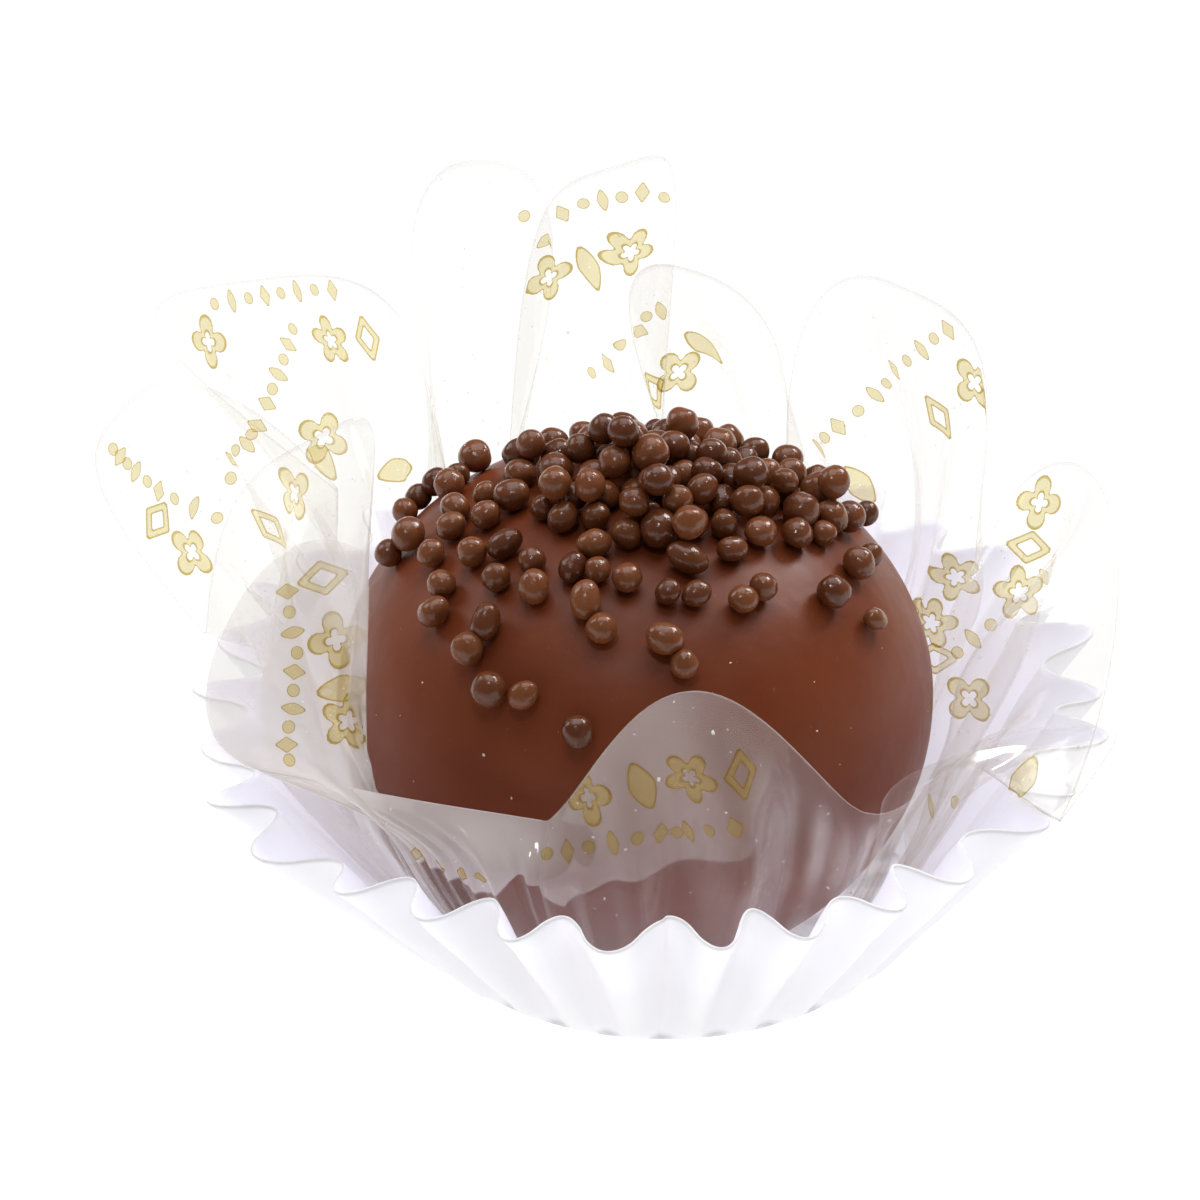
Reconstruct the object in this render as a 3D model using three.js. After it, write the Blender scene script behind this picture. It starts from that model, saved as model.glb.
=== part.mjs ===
// A chocolate sweet with crisp balls on top, sitting in a clear scalloped film sheet
// inside a fluted white paper case.  Millimetres, +Z up, the case standing on z = 0.
// Bearings are degrees measured from the front (-Y) towards the right (+X).
import * as THREE from 'three';

// ---- driving sizes
const CASE_BASE_RADIUS = 17.3;
const CASE_RIM_RADIUS = 31.2;
const CASE_RIM_HEIGHT = 17;
const CASE_RIM_SHIFT = -1.2; // the rim is pushed a little to the left of the base
const CASE_FLARE = 2; // extra spread of the rim at the front left, where the wall is pressed down
const CASE_FLARE_BEARING = 302;
const CASE_FLARE_SPAN = 14;
const CASE_FLUTES = 30;
const CASE_FLUTE_DEPTH = 4.3;
const CASE_THICK = 0.3;
const CASE_FOLD_INSET = 0.1; // the floor ends this far inside the base radius
const CASE_DEPTH_VARY = 0.12; // share by which some flutes are shallower than others
const CASE_RAGGED = 0.02; // share of the height by which the rim wanders up and down
const CASE_FLARE_DROP = 0.05; // the pressed-down stretch of the rim is lower by this share
const CASE_RIGHT_RISE = 0.02; // the rim stands higher at the right, lower at the left
const FLUTE_WANDER = [0.9, 0.6]; // degrees by which the flutes wander off an even spacing

const SWEET_RADIUS = 20.2;
const SWEET_HALF_HEIGHT = 17.6;
const SWEET_CENTRE_X = -2;
const SWEET_CENTRE_Z = 16.3;
const SWEET_FLAT_Z = 1.2;
const SWEET_UNEVEN = 0.006; // share of the radius by which the skin goes in and out
const CROWN_FLAT = 1.1; // the crown is this much lower than a true round
const CROWN_REACH = 12; // distance from the middle over which the crown is flattened

const FILM_THICK = 0.25;
const FILM_FLOOR_Z = 0.75;
const FILM_FLOOR_RADIUS = 16.2;
const FILM_CUP_TOP_Z = 16.6;
const FILM_CLEARANCE = 0.75;
const FILM_CALM_BEARING = 328; // the pleats flatten out at the front left
const FILM_CALM_SPAN = 30;
const FILM_CALM_SHARE = 0.85;
const FILM_LEAN = 0.2; // how far the calm stretch stands out towards the case
const CUP_SWAY = 0.42; // how far the pleats swing between the sweet and the case
const LEAVE_PULL = 0.35; // how long the free part keeps the direction of the cup's wall
const ARRIVE_PULL = 0.33;
const NEAR_CUP_TOP = 0.93; // the cup's share just under its top, where its slope is read

// One entry for each lobe of the film, going round from the front to the right.
// tip and notch are [bearing, reach from the axis, height]; the notch is the low point after
// the lobe.  square is how square the shoulders before and after the tip are, widen is how much
// the lobe spreads above its foot, and foot is the bearing of the notch down in the cup.
const LOBES = [
  { tip: [5, 24, 32.2], notch: [36, 24.1, 18.6], square: [1.35, 1.3], widen: 0, foot: 37 },
  { tip: [64, 28.4, 22.2], notch: [53.5, 32, 18.9], square: [2.6, 7], widen: -0.1, foot: 62 },
  { tip: [96, 30, 30], notch: [112, 23, 23], square: [2, 2], widen: 0, foot: 112 },
  { tip: [136, 22, 40], notch: [155, 20, 24], square: [4, 2.2], widen: 0.15, foot: 148 },
  { tip: [175, 21, 38], notch: [181, 20, 26], square: [2.6, 2.6], widen: 0.6, foot: 179 },
  { tip: [191, 23, 45], notch: [209, 23, 22], square: [7, 4], widen: 0, foot: 204 },
  { tip: [208, 27, 45], notch: [220, 24, 23], square: [2.5, 2.5], widen: 2.6, foot: 224 },
  { tip: [231, 37, 35.8], notch: [248, 24, 27], square: [3.2, 4], widen: 1.9, foot: 246 },
  { tip: [262, 36, 37], notch: [276, 31, 23], square: [2, 4], widen: 0, foot: 268 },
  { tip: [286, 25, 40], notch: [298, 22, 34], square: [3, 6], widen: 0, foot: 316 },
  { tip: [292, 31, 29], notch: [302, 31, 21], square: [2.4, 2.2], widen: 0.1, foot: 319.5 },
  { tip: [319, 26.2, 21.2], notch: [340, 22, 20], square: [1.2, 1.1], widen: 0, foot: 341 },
];
// rounding of the notch after the first lobe: how far it reaches, how wide it averages, weights
const NOTCH_REACH = 0.3;
const NOTCH_SPREAD = 0.13;
const NOTCH_BLUR = [[-1, 0.12], [-0.5, 0.24], [0, 0.28], [0.5, 0.24], [1, 0.12]];

const TAU = 2 * Math.PI;
const rad = (degrees) => (degrees * Math.PI) / 180;
const clamp = (x, low, high) => Math.min(high, Math.max(low, x));
const polar = (bearing, reach, z) =>
  new THREE.Vector3(reach * Math.sin(rad(bearing)), -reach * Math.cos(rad(bearing)), z);

// ---- mesh helpers

// Closed thin shell from a grid of middle points: middle(i, j) for column i and row j, plus one
// centre point under row 0.  Columns wrap round; the last row is the free edge.
function closedShell(columns, rows, centre, middle, thick) {
  const points = [];
  for (let j = 0; j < rows; j += 1) {
    for (let i = 0; i < columns; i += 1) points.push(middle(i, j));
  }
  const at = (i, j) => points[j * columns + ((i + columns) % columns)];
  const normalAt = (i, j) => {
    const across = at(i + 1, j).clone().sub(at(i - 1, j));
    const below = j > 0 ? at(i, j - 1) : centre;
    const along = at(i, Math.min(j + 1, rows - 1)).clone().sub(below);
    return across.cross(along).normalize();
  };
  const verts = [];
  const put = (p) => verts.push(p.x, p.y, p.z);
  const down = new THREE.Vector3(0, 0, -thick / 2);
  for (const side of [1, -1]) {
    put(centre.clone().addScaledVector(down, side));
    for (let j = 0; j < rows; j += 1) {
      for (let i = 0; i < columns; i += 1) {
        put(at(i, j).clone().addScaledVector(normalAt(i, j), (side * thick) / 2));
      }
    }
  }
  const half = 1 + columns * rows;
  const index = [];
  const id = (side, i, j) => side * half + 1 + j * columns + ((i + columns) % columns);
  const face = (side, a, b, c) => (side === 0 ? index.push(a, b, c) : index.push(a, c, b));
  for (const side of [0, 1]) {
    for (let i = 0; i < columns; i += 1) {
      face(side, side * half, id(side, i + 1, 0), id(side, i, 0));
      for (let j = 0; j + 1 < rows; j += 1) {
        face(side, id(side, i, j), id(side, i + 1, j), id(side, i + 1, j + 1));
        face(side, id(side, i, j), id(side, i + 1, j + 1), id(side, i, j + 1));
      }
    }
  }
  for (let i = 0; i < columns; i += 1) {
    const [a, b] = [id(0, i, rows - 1), id(0, i + 1, rows - 1)];
    const [c, d] = [id(1, i, rows - 1), id(1, i + 1, rows - 1)];
    index.push(a, b, d, a, d, c);
  }
  const geometry = new THREE.BufferGeometry();
  geometry.setAttribute('position', new THREE.Float32BufferAttribute(verts, 3));
  geometry.setIndex(index);
  return geometry;
}

// ---- the sweet: a squat ball, slightly uneven, settled on a flat underside
function sweetReach(bearing, z) {
  const k = (z - SWEET_CENTRE_Z) / SWEET_HALF_HEIGHT;
  const round = SWEET_RADIUS * Math.sqrt(clamp(1 - k * k, 0, 1));
  return round + SWEET_CENTRE_X * Math.sin(rad(bearing));
}

// how much the crown is flattened at a distance from the sweet's middle
function crownDrop(away) {
  return CROWN_FLAT * Math.exp(-((away / CROWN_REACH) ** 4));
}

function sweetGeometry() {
  const columns = 44;
  const rows = 20;
  const verts = [];
  const lowest = Math.asin((SWEET_FLAT_Z - SWEET_CENTRE_Z) / SWEET_HALF_HEIGHT);
  const top = SWEET_CENTRE_Z + SWEET_HALF_HEIGHT - CROWN_FLAT;
  for (let j = 0; j < rows; j += 1) {
    const lift = lowest + ((Math.PI / 2 - lowest) * j) / rows;
    for (let i = 0; i < columns; i += 1) {
      const turn = (TAU * i) / columns;
      const wave = Math.sin(2 * turn + 1) * Math.cos(lift) * Math.sin(3 * lift + 1.5);
      const reach = SWEET_RADIUS * Math.cos(lift) * (1 + SWEET_UNEVEN * wave);
      const drop = lift > 0 ? crownDrop(reach) : 0;
      verts.push(SWEET_CENTRE_X + reach * Math.cos(turn), reach * Math.sin(turn));
      verts.push(SWEET_CENTRE_Z + SWEET_HALF_HEIGHT * Math.sin(lift) - drop);
    }
  }
  const topId = columns * rows;
  verts.push(SWEET_CENTRE_X, 0, top, SWEET_CENTRE_X, 0, SWEET_FLAT_Z);
  const index = [];
  const id = (i, j) => j * columns + (i % columns);
  for (let i = 0; i < columns; i += 1) {
    for (let j = 0; j + 1 < rows; j += 1) {
      index.push(id(i, j), id(i + 1, j), id(i + 1, j + 1));
      index.push(id(i, j), id(i + 1, j + 1), id(i, j + 1));
    }
    index.push(id(i, rows - 1), id(i + 1, rows - 1), topId);
    index.push(id(i + 1, 0), id(i, 0), topId + 1);
  }
  const geometry = new THREE.BufferGeometry();
  geometry.setAttribute('position', new THREE.Float32BufferAttribute(verts, 3));
  geometry.setIndex(index);
  return geometry;
}

// ---- the paper case: flat base, fluted flaring wall, ragged pleats
function caseFlare(bearing) {
  const away = ((((bearing - CASE_FLARE_BEARING) % 360) + 540) % 360) - 180;
  return Math.exp(-((away / CASE_FLARE_SPAN) ** 2));
}

function caseReach(bearing, z, wave) {
  const k = z / CASE_RIM_HEIGHT;
  const ridge = CASE_BASE_RADIUS + (CASE_RIM_RADIUS - CASE_BASE_RADIUS) * k;
  const push = CASE_RIM_SHIFT * Math.sin(rad(bearing)) + CASE_FLARE * caseFlare(bearing);
  return ridge + (push - CASE_FLUTE_DEPTH * wave) * k;
}

function caseGeometry() {
  const perFlute = 4;
  const columns = CASE_FLUTES * perFlute;
  const floor = CASE_THICK / 2;
  const levels = [0, 0.04, 0.3, 0.65, 1];
  const middle = (i, j) => {
    const turn = i / perFlute;
    const [slow, quick] = FLUTE_WANDER;
    const wander = slow * Math.sin(turn * 1.7) + quick * Math.sin(turn * 2.9 + 1);
    const bearing = (360 / CASE_FLUTES) * turn + wander * levels[j];
    const wave = 0.5 + 0.5 * Math.cos(TAU * turn);
    const deep = 1 - CASE_DEPTH_VARY * (1 - Math.sin(turn * 2.3 + 0.5));
    const ragged = CASE_RAGGED * Math.sin(turn * 3.1) - CASE_FLARE_DROP * caseFlare(bearing);
    const tall = 1 + CASE_RIGHT_RISE * Math.sin(rad(bearing)) + ragged;
    const z = floor + (CASE_RIM_HEIGHT - floor) * levels[j] * tall;
    if (j === 0) return polar(bearing, CASE_BASE_RADIUS - CASE_FOLD_INSET, floor);
    return polar(bearing, caseReach(bearing, z, wave * deep) - CASE_THICK / 2, z);
  };
  return closedShell(columns, levels.length, new THREE.Vector3(0, 0, floor), middle, CASE_THICK);
}

// ---- the film: a round scalloped sheet pleated into the case, its lobes standing up
function plainEdge(along) {
  const u = (along + LOBES.length) % LOBES.length;
  const i = Math.floor(u);
  const lobe = LOBES[i];
  const before = polar(...LOBES[(i + LOBES.length - 1) % LOBES.length].notch);
  const after = polar(...lobe.notch);
  const half = after.clone().sub(before).multiplyScalar(0.5);
  const middle = before.clone().add(half);
  const rise = polar(...lobe.tip).sub(middle);
  const w = 2 * (u - Math.floor(u)) - 1;
  const square = w < 0 ? lobe.square[0] : lobe.square[1];
  const soft = clamp(2 - square, 0, 1);
  const power = Math.max(square, 2);
  const angle = ((1 - Math.abs(w)) * Math.PI) / 2;
  const [c, s] = [Math.cos(angle), Math.sin(angle)];
  const size = 1 / (c ** power + s ** power) ** (1 / power);
  const across = (1 - soft) * Math.sign(w) * c * size + soft * w;
  const up = (1 - soft) * s * size + (soft * (1 + Math.cos(Math.PI * w))) / 2;
  return middle.addScaledVector(half, across * (1 + lobe.widen * up)).addScaledVector(rise, up);
}

// the free edge, with the notch after the first lobe rounded by a weighted mean along the edge
function lobeEdge(u) {
  const spread = NOTCH_SPREAD * Math.exp(-(((u - 1) / NOTCH_REACH) ** 2));
  const edge = new THREE.Vector3();
  for (const [step, share] of NOTCH_BLUR) {
    edge.addScaledVector(plainEdge(u + step * spread), share);
  }
  return edge;
}

function footBearing(u) {
  const i = Math.floor(u) % LOBES.length;
  const start = i === 0 ? LOBES[LOBES.length - 1].foot - 360 : LOBES[i - 1].foot;
  return start + (LOBES[i].foot - start) * (u - Math.floor(u));
}

// 1 in the middle of the stretch where the film hangs calm, 0 well away from it
function calm(bearing) {
  const away = ((((bearing - FILM_CALM_BEARING) % 360) + 540) % 360) - 180;
  return Math.exp(-((away / FILM_CALM_SPAN) ** 2));
}

function pleat(u) {
  const wide = Math.sin(TAU * (2 * u + 0.15 * Math.sin((TAU * u) / 3)));
  const fine = Math.sin(TAU * (3 * u + 0.4 + 0.2 * Math.sin((TAU * u) / 4)));
  return (0.6 * wide + 0.4 * fine) * (1 - FILM_CALM_SHARE * calm(footBearing(u)));
}

function cupPoint(u, t) {
  const bearing = footBearing(u);
  const z = FILM_FLOOR_Z + (FILM_CUP_TOP_Z - FILM_FLOOR_Z) * t;
  const low = Math.max(sweetReach(bearing, z) + FILM_CLEARANCE, FILM_FLOOR_RADIUS);
  const wall = caseReach(bearing, z, 1) - CASE_THICK - FILM_CLEARANCE;
  const high = Math.max(wall, FILM_FLOOR_RADIUS + 0.4);
  const lean = FILM_LEAN * calm(bearing) * clamp(2 * t - 0.6, 0, 1);
  const share = 0.5 + CUP_SWAY * pleat(u) * Math.min(1, 3 * t) + lean;
  return polar(bearing, low + (high - low) * share, z);
}

function filmGeometry() {
  const perLobe = 11;
  const columns = LOBES.length * perLobe;
  const cup = [0, 0.3, 0.65, 1];
  const free = [0.25, 0.5, 0.75, 1];
  const middle = (i, j) => {
    const u = ((i + 0.5) / perLobe + LOBES.length) % LOBES.length;
    if (j < cup.length) return cupPoint(u, cup[j]);
    const k = free[j - cup.length];
    const start = cupPoint(u, 1);
    const edge = lobeEdge(u);
    const length = edge.distanceTo(start);
    const wallWay = start.clone().sub(cupPoint(u, NEAR_CUP_TOP)).normalize();
    const leave = start.clone().addScaledVector(wallWay, LEAVE_PULL * length);
    const arrive = edge.clone().lerp(start, ARRIVE_PULL);
    return start.multiplyScalar((1 - k) ** 3)
      .addScaledVector(leave, 3 * k * (1 - k) ** 2)
      .addScaledVector(arrive, 3 * k * k * (1 - k))
      .addScaledVector(edge, k ** 3);
  };
  const centre = new THREE.Vector3(0, 0, FILM_FLOOR_Z);
  return closedShell(columns, cup.length + free.length, centre, middle, FILM_THICK);
}

// ---- assembly
function piece(name, geometry, colour, roughness) {
  const mesh = new THREE.Mesh(geometry, new THREE.MeshStandardMaterial({ color: colour, roughness }));
  mesh.name = name;
  return mesh;
}

const group = new THREE.Group();
group.name = 'brigadeiro';
group.add(piece('sweet', sweetGeometry(), 0x683521, 0.35));
group.add(piece('paper_case', caseGeometry(), 0xf4f4f4, 0.9));
group.add(piece('film_liner', filmGeometry(), 0xe6e6e2, 0.2));

export default group;
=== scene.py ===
"""Looks for a brigadeiro: a chocolate sweet topped with crisp balls, in clear film and a paper case."""
import math

import bmesh
import bpy
import numpy as np
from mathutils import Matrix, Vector


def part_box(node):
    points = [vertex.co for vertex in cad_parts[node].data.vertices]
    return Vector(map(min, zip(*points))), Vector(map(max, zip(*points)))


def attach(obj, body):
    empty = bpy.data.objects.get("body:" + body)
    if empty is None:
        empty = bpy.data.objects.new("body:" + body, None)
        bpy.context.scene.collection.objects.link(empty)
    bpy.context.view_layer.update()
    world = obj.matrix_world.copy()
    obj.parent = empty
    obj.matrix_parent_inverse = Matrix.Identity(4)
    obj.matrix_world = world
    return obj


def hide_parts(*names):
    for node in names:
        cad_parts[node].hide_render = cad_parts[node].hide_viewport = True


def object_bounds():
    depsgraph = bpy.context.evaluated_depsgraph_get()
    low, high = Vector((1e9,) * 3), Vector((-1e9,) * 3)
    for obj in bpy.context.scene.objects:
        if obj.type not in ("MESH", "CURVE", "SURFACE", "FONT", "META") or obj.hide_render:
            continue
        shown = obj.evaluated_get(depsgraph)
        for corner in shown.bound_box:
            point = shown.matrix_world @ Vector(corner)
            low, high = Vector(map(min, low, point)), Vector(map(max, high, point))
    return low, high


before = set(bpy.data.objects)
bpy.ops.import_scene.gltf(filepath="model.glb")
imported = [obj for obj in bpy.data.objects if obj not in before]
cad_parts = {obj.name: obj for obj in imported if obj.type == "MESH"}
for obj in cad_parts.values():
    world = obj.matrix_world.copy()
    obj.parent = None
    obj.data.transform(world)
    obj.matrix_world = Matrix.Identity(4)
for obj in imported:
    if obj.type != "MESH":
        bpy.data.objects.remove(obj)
cad_low, cad_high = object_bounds()

MM = 0.001
TAU = 2 * math.pi

# ---- sizes (millimetres, degrees); the shapes follow the frame's, with thinner paper and film
CASE_BASE_RADIUS = 17.3
CASE_RIM_RADIUS = 31.2
CASE_RIM_HEIGHT = 17.0
CASE_RIM_SHIFT = -1.2
CASE_FLARE = 2.0
CASE_FLARE_BEARING = 302.0
CASE_FLARE_SPAN = 14.0
CASE_FLUTES = 30
CASE_FLUTE_DEPTH = 4.3
CASE_THICK = 0.3
CASE_FOLD_INSET = 0.1  # the wall starts this far inside the base's edge
CASE_DEPTH_VARY = 0.12  # shares by which the flutes' depth and the rim's height vary
CASE_RAGGED = 0.02
CASE_FLARE_DROP = 0.05
CASE_RIGHT_RISE = 0.02
CASE_EASE = 0.05  # share of the height over which the wall takes up its slant
CASE_FOOT_SWAY = 0.35  # how far the wall sways at its foot, in its fine crimp and in its crumple
CASE_CRIMP = 0.06
CASE_CRUMPLE = 0.16
PAPER_THICK = 0.16

sweet_low, sweet_high = [np.array(corner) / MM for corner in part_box("sweet")]
SWEET_RADIUS = 20.2
SWEET_HALF_HEIGHT = 17.6
CROWN_FLAT = 1.1
CROWN_REACH = 12.0
SWEET_CENTRE = np.array([-2.0, 0.0, sweet_high[2] + CROWN_FLAT - SWEET_HALF_HEIGHT])
SWEET_FLAT_Z = sweet_low[2]

FILM_THICK = 0.07
FILM_FLOOR_Z = 0.75
FILM_FLOOR_RADIUS = 16.2
FILM_CUP_TOP_Z = 16.6
FILM_CLEARANCE = 0.75
FILM_CALM_BEARING = 328.0
FILM_CALM_SPAN = 30.0
FILM_CALM_SHARE = 0.85
FILM_LEAN = 0.2
CUP_SWAY = 0.42  # of the way between the sweet and the case, to each side of its middle
NEAR_CUP_TOP = 0.93  # the free part leaves the cup along the line from here to the cup's top;
LEAVE_PULL = 0.35  # these shares of its length say how softly it bends there
ARRIVE_PULL = 0.33  # and how straight it runs up to its edge

# Each lobe's tip and the notch after it are (bearing, reach, height). Square says how square its two
# sides are, widen how much it spreads towards its tip, and foot the bearing of its notch at the floor.
LOBES = [
    dict(tip=(5, 24, 32.2), notch=(36, 24.1, 18.6), square=(1.35, 1.3), widen=0, foot=37),
    dict(tip=(64, 28.4, 22.2), notch=(53.5, 32, 18.9), square=(2.6, 7), widen=-0.1, foot=62),
    dict(tip=(96, 30, 30), notch=(112, 23, 23), square=(2, 2), widen=0, foot=112),
    dict(tip=(136, 22, 40), notch=(155, 20, 24), square=(4, 2.2), widen=0.15, foot=148),
    dict(tip=(175, 21, 38), notch=(181, 20, 26), square=(2.6, 2.6), widen=0.6, foot=179),
    dict(tip=(191, 23, 45), notch=(209, 23, 22), square=(7, 4), widen=0, foot=204),
    dict(tip=(208, 27, 45), notch=(220, 24, 23), square=(2.5, 2.5), widen=2.6, foot=224),
    dict(tip=(231, 37, 35.8), notch=(248, 24, 27), square=(3.2, 4), widen=1.9, foot=246),
    dict(tip=(262, 36, 37), notch=(276, 31, 23), square=(2, 4), widen=0, foot=268),
    dict(tip=(286, 25, 40), notch=(298, 22, 34), square=(3, 6), widen=0, foot=316),
    dict(tip=(292, 31, 29), notch=(302, 31, 21), square=(2.4, 2.2), widen=0.1, foot=319.5),
    dict(tip=(319, 26.2, 21.2), notch=(340, 22, 20), square=(1.2, 1.1), widen=0, foot=341),
]
LOBE_COUNT = len(LOBES)

# rounding of the notch after the first lobe: its reach along the edge, its width and its weights
NOTCH_REACH = 0.3
NOTCH_SPREAD = 0.13
NOTCH_BLUR = ((-1, 0.12), (-0.5, 0.24), (0, 0.28), (0.5, 0.24), (1, 0.12))


# ---- small helpers
def polar(bearing, reach, z):
    """Points at a bearing from the front, a reach from the axis and a height."""
    turn = np.radians(bearing)
    parts = np.broadcast_arrays(reach * np.sin(turn), -reach * np.cos(turn), z)
    return np.stack(parts, -1).astype(float)


def unit(vectors):
    return vectors / np.linalg.norm(vectors, axis=-1, keepdims=True)


def bell(away, span):
    """One in the middle, fading over a span on both sides."""
    return np.exp(-((away / span) ** 2))


def bearing_gap(bearing, middle):
    """Degrees from the middle bearing, between -180 and 180."""
    return (bearing - middle + 540) % 360 - 180


def wrapped_quads(ids):
    """Faces between the rows of a grid of point numbers whose columns wrap round."""
    right = np.roll(ids, -1, 1)
    return np.stack([ids[:-1], right[:-1], right[1:], ids[1:]], -1).reshape(-1, 4)


def new_piece(name, verts, faces, materials, replaces=None, attributes=None, face_material=None):
    """A smooth mesh object from millimetre points, riding on the body."""
    mesh = bpy.data.meshes.new(name)
    mesh.from_pydata((np.asarray(verts) * MM).tolist(), [], [list(map(int, f)) for f in faces])
    mesh.polygons.foreach_set("use_smooth", [True] * len(mesh.polygons))
    for material in materials:
        mesh.materials.append(material)
    if face_material is not None:
        mesh.polygons.foreach_set("material_index", list(map(int, face_material)))
    for label, values in (attributes or {}).items():
        layer = mesh.attributes.new(label, "FLOAT", "POINT")
        layer.data.foreach_set("value", np.asarray(values, np.float32))
    mesh.update()
    piece = bpy.data.objects.new(name, mesh)
    bpy.context.scene.collection.objects.link(piece)
    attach(piece, "root")
    if replaces:
        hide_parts(replaces)
    return piece


def shell(points, centre, thick):
    """Closed thin shell round a grid of middle points.

    The grid is [row, column]; its columns wrap round and row 0 closes on the centre.
    """
    rows, columns = points.shape[:2]
    below = np.concatenate([np.broadcast_to(centre, (1, columns, 3)), points[:-1]])
    above = np.concatenate([points[1:], points[-1:]])
    across = np.roll(points, -1, 1) - np.roll(points, 1, 1)
    normals = unit(np.cross(across, above - below))
    down = np.array([0.0, 0.0, -1.0])
    verts = []
    for side in (1, -1):
        verts.append(np.concatenate([
            [centre + down * side * thick / 2],
            (points + normals * side * thick / 2).reshape(-1, 3),
        ]))
    half = 1 + rows * columns
    ids = 1 + np.arange(rows * columns).reshape(rows, columns)
    right = np.roll(ids, -1, 1)
    fan = np.stack([np.zeros(columns, int), right[0], ids[0]], -1)
    outer = [*fan.tolist(), *wrapped_quads(ids).tolist()]
    inner = [[v + half for v in reversed(face)] for face in outer]
    edge = np.stack([ids[-1], right[-1], right[-1] + half, ids[-1] + half], -1)
    return np.concatenate(verts), outer, inner, edge.tolist()


def icosphere(subdivisions):
    """Points and faces of a round ball of radius one."""
    work = bmesh.new()
    bmesh.ops.create_icosphere(work, subdivisions=subdivisions, radius=1.0)
    verts = np.array([v.co for v in work.verts])
    faces = np.array([[v.index for v in f.verts] for f in work.faces])
    work.free()
    return verts, faces


# ---- node material helpers
class Nodes:
    """A material's nodes, made with short calls."""

    def __init__(self, name):
        self.material = bpy.data.materials.new(name)
        self.material.use_nodes = True
        self.tree = self.material.node_tree
        self.tree.nodes.clear()
        self.output = self.add("OutputMaterial")
        self.place = self.add("TexCoord").outputs["Object"]

    def add(self, kind, **settings):
        node = self.tree.nodes.new("ShaderNode" + kind)
        for key, value in settings.items():
            setattr(node, key, value)
        return node

    def feed(self, socket, value):
        if isinstance(value, bpy.types.NodeSocket):
            self.tree.links.new(value, socket)
        elif isinstance(value, tuple) and len(value) == 3 and socket.type == "RGBA":
            socket.default_value = (*value, 1)
        else:
            socket.default_value = value

    def principled(self, **inputs):
        node = self.add("BsdfPrincipled")
        for key, value in inputs.items():
            self.feed(node.inputs[key.replace("_", " ")], value)
        return node.outputs[0]

    def surface(self, shader):
        self.tree.links.new(shader, self.output.inputs["Surface"])
        return self.material

    def axes(self):
        """The X, Y and Z of the place on the surface."""
        node = self.add("SeparateXYZ")
        self.feed(node.inputs[0], self.place)
        return node.outputs

    def noise(self, scale, detail=2.0, rough=0.5):
        node = self.add("TexNoise")
        self.feed(node.inputs["Scale"], scale)
        self.feed(node.inputs["Detail"], detail)
        self.feed(node.inputs["Roughness"], rough)
        self.feed(node.inputs["Vector"], self.place)
        return node.outputs[0]

    def ramp(self, factor, low, high, low_value=0.0, high_value=1.0):
        node = self.add("MapRange")
        limits = {"From Min": low, "From Max": high, "To Min": low_value, "To Max": high_value}
        for key, value in limits.items():
            self.feed(node.inputs[key], value)
        self.feed(node.inputs["Value"], factor)
        return node.outputs[0]

    def maths(self, kind, a, b=0.0):
        node = self.add("Math", operation=kind)
        self.feed(node.inputs[0], a)
        self.feed(node.inputs[1], b)
        return node.outputs[0]

    def mix(self, factor, a, b):
        node = self.add("Mix", data_type="RGBA")
        self.feed(node.inputs["Factor"], factor)
        self.feed(node.inputs[6], a)
        self.feed(node.inputs[7], b)
        return node.outputs[2]

    def blend(self, factor, a, b):
        node = self.add("MixShader")
        self.feed(node.inputs[0], factor)
        self.tree.links.new(a, node.inputs[1])
        self.tree.links.new(b, node.inputs[2])
        return node.outputs[0]

    def bump(self, height, strength, distance):
        node = self.add("Bump")
        self.feed(node.inputs["Strength"], strength)
        self.feed(node.inputs["Distance"], distance * MM)
        self.feed(node.inputs["Height"], height)
        return node.outputs[0]

    def value(self, label):
        return self.add("Attribute", attribute_name=label).outputs["Fac"]

    def shader(self, kind, **inputs):
        node = self.add(kind)
        for key, value in inputs.items():
            self.feed(node.inputs[key.replace("_", " ")], value)
        return node.outputs[0]


# ---- materials
def chocolate_material():
    n = Nodes("chocolate")
    cloud = n.noise(90, 3, 0.55)
    speck = n.ramp(n.noise(2600, 2, 0.6), 0.68, 0.78)
    colour = n.mix(n.ramp(cloud, 0.35, 0.65), (0.132, 0.0265, 0.0070), (0.153, 0.033, 0.0095))
    colour = n.mix(n.maths("MULTIPLY", speck, 0.35), colour, (0.22, 0.12, 0.075))
    # painted light: the lower part of the sweet is mixed towards a lighter brown, standing in for light
    # falling on it from the front and below
    low = n.ramp(n.axes()["Z"], 0.013, 0.028, 1.0, 0.0)
    colour = n.mix(n.maths("MULTIPLY", low, 0.75), colour, (0.190, 0.041, 0.0125))
    height = n.maths("ADD", n.noise(260, 2), n.maths("MULTIPLY", n.noise(1500, 2), 0.12))
    return n.surface(n.principled(
        Base_Color=colour,
        Roughness=n.ramp(n.noise(400, 3), 0.3, 0.7, 0.38, 0.48),
        Specular_IOR_Level=0.20,
        Normal=n.bump(height, 0.5, 0.25),
    ))


def balls_material():
    n = Nodes("crisp_balls")
    shade = n.maths("ADD", n.value("shade"), n.maths("MULTIPLY", n.noise(900, 3, 0.6), 0.6))
    colour = n.mix(n.ramp(shade, 0.2, 1.2), (0.078, 0.019, 0.0058), (0.172, 0.054, 0.0185))
    height = n.noise(1700, 3, 0.6)
    return n.surface(n.principled(
        Base_Color=colour,
        Roughness=n.ramp(n.noise(1300, 2), 0.3, 0.7, 0.12, 0.28),
        Specular_IOR_Level=0.38,
        Normal=n.bump(height, 0.45, 0.12),
    ))


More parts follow.
